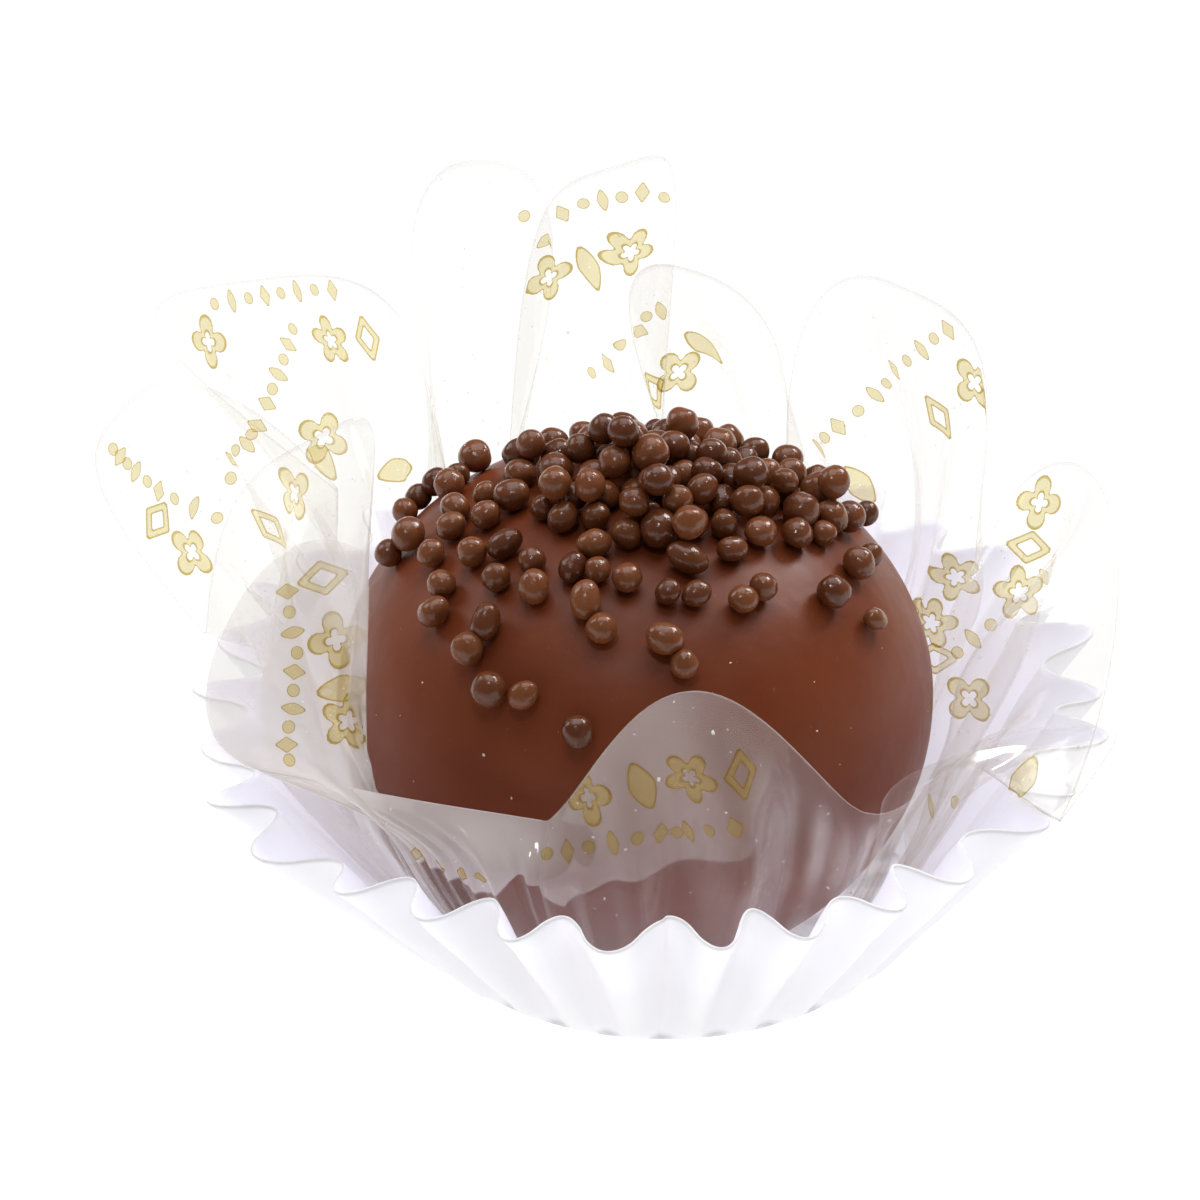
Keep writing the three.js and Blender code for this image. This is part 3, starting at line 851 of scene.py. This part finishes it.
def shape_outline(kind):
    """Outline of one simple shape, one unit high, as points round its middle."""
    turn = TAU * (np.arange(OUTLINE_POINTS) + 0.5) / OUTLINE_POINTS
    c, s = np.abs(np.cos(turn)), np.abs(np.sin(turn))
    if kind == "lozenge":
        reach = 1 / (c / 0.62 + s)
    elif kind == "leaf":
        reach = 1 / ((c / 0.46) ** 1.4 + s ** 1.4) ** (1 / 1.4)
    elif kind == "bead":
        reach = np.full(OUTLINE_POINTS, 0.5)
    elif kind == "clover":
        reach = 0.32 + 0.68 * np.abs(np.cos(2 * turn)) ** 0.7
    else:
        reach = 0.40 + 0.60 * np.abs(np.cos(2.5 * turn + 0.785)) ** 0.8
    return 0.5 * np.stack([reach * np.cos(turn), reach * np.sin(turn)], -1)


def on_film(place, across, up, offsets):
    """Film coordinates of points at small offsets (mm) from a place on the film."""
    origin = film_point(*place)
    u, t = np.full(len(offsets), place[0]), np.full(len(offsets), place[1])
    step = 0.003
    for _ in range(5):
        here = film_point(u, t) - origin
        by_u = (film_point(u + step, t) - film_point(u - step, t)) / (2 * step)
        by_t = (film_point(u, t) - film_point(u, t - step)) / step
        miss_a, miss_b = offsets[:, 0] - here @ across, offsets[:, 1] - here @ up
        a, b, c, d = by_u @ across, by_t @ across, by_u @ up, by_t @ up
        size = a * d - b * c
        size = np.where(np.abs(size) < 1e-3, 1e-3, size)
        u = u + np.clip((d * miss_a - b * miss_b) / size, -0.06, 0.06)
        t = t + np.clip((a * miss_b - c * miss_a) / size, -0.08, 0.08)
        t = np.minimum(t, FILM_END)
    return u, t


def perimeter(ring):
    """Length round a closed ring of points."""
    return np.linalg.norm(ring - np.roll(ring, -1, 0), axis=1).sum()


def row_places(points, count):
    """Evenly spaced places along a row of print, and the way the row runs at each of them."""
    points = np.array(points)
    along = np.linspace(0, len(points) - 1, count)
    places = np.stack([np.interp(along, np.arange(len(points)), points[:, k]) for k in (0, 1)], -1)
    if count == 1:
        start, end = film_point(points[[0, -1], 0], points[[0, -1], 1])
        return places, [end - start]
    ways = []
    for k in range(count):
        near = places[[max(k - 1, 0), min(k + 1, count - 1)]]
        ways.append(np.diff(film_point(near[:, 0], near[:, 1]), axis=0)[0])
    return places, ways


def mark_sides(place, way, kind, hole, height):
    """Rings of points on the near and the far side of one mark, and how much the film stretches it."""
    normal = film_normal(place[0], place[1])
    across = unit(way - normal * (way @ normal))
    up = np.cross(normal, across)
    rings = np.array([hole, hole + PRINT_RINGS[0], hole + PRINT_RINGS[1], *PRINT_RIM, 1.0])
    outline = shape_outline(kind) * height
    u, t = on_film(place, across, up, (outline[None] * rings[:, None, None]).reshape(-1, 2))
    if t.max() > PRINT_EDGE:
        t = PRINT_TOP + (t - PRINT_TOP) * np.where(t > PRINT_TOP, PRINT_SQUEEZE, 1)
    outer = place[0] > PRINT_FRONT[0] or place[0] < PRINT_FRONT[1]
    side = 1 if outer else -1
    near, far = [film_skin(u, t, side * lift) for lift in (PRINT_LIFT, PRINT_LIFT + PRINT_THICK)]
    stretch = perimeter(near[-OUTLINE_POINTS:]) / perimeter(outline)
    return near, far, outer, stretch


def slab_faces(rows, columns):
    """Faces of a closed slab between two like grids of rings; the inner grid's points come first."""
    ids = np.arange(rows * columns).reshape(rows, columns)
    right = np.roll(ids, -1, 1)
    half = rows * columns
    top = np.stack([ids[:-1], ids[1:], right[1:], right[:-1]], -1).reshape(-1, 4) + half
    bottom = top[:, ::-1] - half
    outside = np.stack([ids[-1], right[-1], right[-1] + half, ids[-1] + half], -1)
    inside = np.stack([ids[0], ids[0] + half, right[0] + half, right[0]], -1)
    return np.concatenate([top, bottom, outside, inside])


def make_print():
    """Each mark is a thin closed slab just off the film, with a dark line of painted shade along its rims.
    """
    slab = slab_faces(len(RIM_SOLID), OUTLINE_POINTS)
    verts, faces, rims, kept = [], [], [], []
    for row_number, (points, count, size) in enumerate(PRINTS):
        height, kinds = size["height"], size["kinds"]
        for k, (place, way) in enumerate(zip(*row_places(points, count))):
            kind, hole = kinds[(k + row_number) % len(kinds)]
            near, far, outer, stretch = mark_sides(place, way, kind, hole, height)
            centre = near.mean(axis=0)
            crowded = any(
                row != row_number and np.linalg.norm(centre - spot) < PRINT_CROWD * (height + tall)
                for row, spot, tall in kept
            )
            if abs(stretch - 1) > PRINT_STRETCH or crowded:
                continue
            faces += (slab + len(kept) * 2 * len(near)).tolist()
            verts += [near, far] if outer else [far, near]
            rims += [np.repeat(RIM_HOLLOW if hole > HOLLOW_FROM else RIM_SOLID, OUTLINE_POINTS)] * 2
            kept.append((row_number, centre, height))
    return new_piece("gold_marks", np.concatenate(verts), faces, [FOIL],
                     attributes={"rim": np.concatenate(rims)})


# ---- pale crumbs and dust on the sweet
CRUMB_COUNT = 80
CRUMB_SIZE = 0.24
CRUMB_DETAIL = 1


def make_crumbs(rng):
    """Small rough lumps, half sunk in the sweet's skin; about one in ten is larger."""
    lump, lump_faces = icosphere(CRUMB_DETAIL)
    verts, faces = [], []
    for k in range(CRUMB_COUNT):
        lift = math.asin(rng.uniform(-0.45, 0.75))
        turn = rng.random() * TAU
        place = sweet_surface(np.array(turn), np.array(lift))
        size = 0.5 * CRUMB_SIZE * rng.uniform(0.5, 1.0) ** 2 * (1 + 1.2 * (rng.random() < 0.1))
        shape = lump * rng.uniform(0.6, 1.3, (len(lump), 1)) * rng.uniform(0.6, 1.2, 3)
        verts.append(place + shape * size)
        faces.append(lump_faces + k * len(lump))
    return new_piece("crumbs", np.concatenate(verts), np.concatenate(faces), [CRUMBS])


# ---- the floor, the light and the camera
FLOOR_GLOW = 0.96
FLOOR_SIDE_GLOW = 0.5
FLOOR_FRONT_GLOW = 0.42
FLOOR_HALF = 3.0
WORLD_GLOW = 0.22
SWEET_MIDDLE = 18  # height that the lights and the camera look at (mm)

CAMERA_DIP = 32.58
CAMERA_DISTANCE = 400
CAMERA_LENS = 176.4
CAMERA_AIM = (-4.42, 5.17)  # from the sweet's middle to the picture's, across and up (mm)


def make_floor():
    n = Nodes("pale_floor")
    soft = n.ramp(n.noise(4, 2), 0.3, 0.7)
    colour = n.mix(soft, (0.10, 0.10, 0.10), (0.12, 0.12, 0.12))
    axes = n.axes()
    aside = n.maths("ABSOLUTE", axes["X"])
    away = n.add("VectorMath", operation="LENGTH")
    n.feed(away.inputs[0], n.place)
    near = n.ramp(away.outputs["Value"], 0.055, 0.085, 1.0, 0.0)
    front = n.maths("MULTIPLY", near, n.ramp(axes["Y"], 0.014, -0.006))
    glow = n.ramp(aside, 0.050, 0.085, FLOOR_GLOW, FLOOR_GLOW + FLOOR_SIDE_GLOW)
    glow = n.maths("ADD", glow, n.maths("MULTIPLY", front, FLOOR_FRONT_GLOW))
    material = n.surface(n.principled(
        Base_Color=colour,
        Roughness=0.9,
        Specular_IOR_Level=0.1,
        Emission_Color=(1.0, 1.0, 1.0),
        Emission_Strength=glow,
    ))
    mesh = bpy.data.meshes.new("floor")
    corners = [(-1, -1), (1, -1), (1, 1), (-1, 1)]
    mesh.from_pydata([(FLOOR_HALF * x, FLOOR_HALF * y, 0) for x, y in corners], [], [(0, 1, 2, 3)])
    mesh.materials.append(material)
    floor = bpy.data.objects.new("floor", mesh)
    floor.location.z = cad_low.z - 0.0002
    bpy.context.scene.collection.objects.link(floor)


def area_light(name, bearing, height, distance, size, power):
    """A soft box at a bearing from the front and an angle above the floor, looking at the sweet."""
    lamp = bpy.data.lights.new(name, "AREA")
    lamp.shape = "RECTANGLE"
    lamp.size, lamp.size_y = size
    lamp.energy = power
    light = bpy.data.objects.new(name, lamp)
    flat, rise = math.radians(bearing), math.radians(height)
    aim = Vector((0, 0, SWEET_MIDDLE * MM))
    way = Vector((math.sin(flat) * math.cos(rise), -math.cos(flat) * math.cos(rise), math.sin(rise)))
    light.location = aim + way * distance
    light.rotation_mode = "QUATERNION"
    light.rotation_quaternion = (-way).to_track_quat("-Z", "Y")
    bpy.context.scene.collection.objects.link(light)


def make_light():
    world = bpy.data.worlds.new("studio")
    bpy.context.scene.world = world
    world.use_nodes = True
    back = world.node_tree.nodes["Background"]
    back.inputs["Color"].default_value = (1.0, 1.0, 1.0, 1)
    back.inputs["Strength"].default_value = WORLD_GLOW
    area_light("overhead", 178, 74, 0.6, (0.5, 0.5), 2.3)
    area_light("right", 134, 41, 0.6, (0.18, 0.18), 1.9)
    area_light("left", 245, 36, 0.6, (0.25, 0.3), 0.9)
    area_light("spark", 350, 64, 0.7, (0.06, 0.06), 0.6)
    area_light("glint", 100, 52, 0.7, (0.04, 0.06), 0.3)


def make_camera():
    """Looks down at the sweet from the front, through a long lens."""
    dip = math.radians(CAMERA_DIP)
    target = Vector((0, 0, SWEET_MIDDLE * MM))
    forward = Vector((0, math.cos(dip), -math.sin(dip)))
    upward = Vector((0, math.sin(dip), math.cos(dip)))
    lens = bpy.data.cameras.new("camera")
    lens.lens = CAMERA_LENS
    lens.sensor_width = 36
    lens.clip_start, lens.clip_end = 0.01, 20
    camera = bpy.data.objects.new("camera", lens)
    camera.location = target - forward * (CAMERA_DISTANCE * MM)
    aim = target + Vector((1, 0, 0)) * (CAMERA_AIM[0] * MM) + upward * (CAMERA_AIM[1] * MM)
    camera.rotation_mode = "QUATERNION"
    camera.rotation_quaternion = (aim - camera.location).to_track_quat("-Z", "Y")
    bpy.context.scene.collection.objects.link(camera)
    bpy.context.scene.camera = camera


make_camera()
make_light()
make_floor()
bpy.context.scene.view_settings.view_transform = "Standard"
bpy.context.scene.cycles.transparent_max_bounces = 32

make_sweet()
rng = np.random.default_rng(11)
loose = loose_balls()
heap = heap_balls(rng, loose)
make_balls("balls_loose", loose, [row[3] for row in LOOSE], rng)
longer = rng.random(len(heap)) < LONG_CHANCE
heap_long = np.where(longer, 1.0 + LONG_MOST * rng.random(len(heap)), 1.0)
make_balls("balls_heap", heap, heap_long, rng)
make_crumbs(rng)
make_case()
make_film()
make_print()
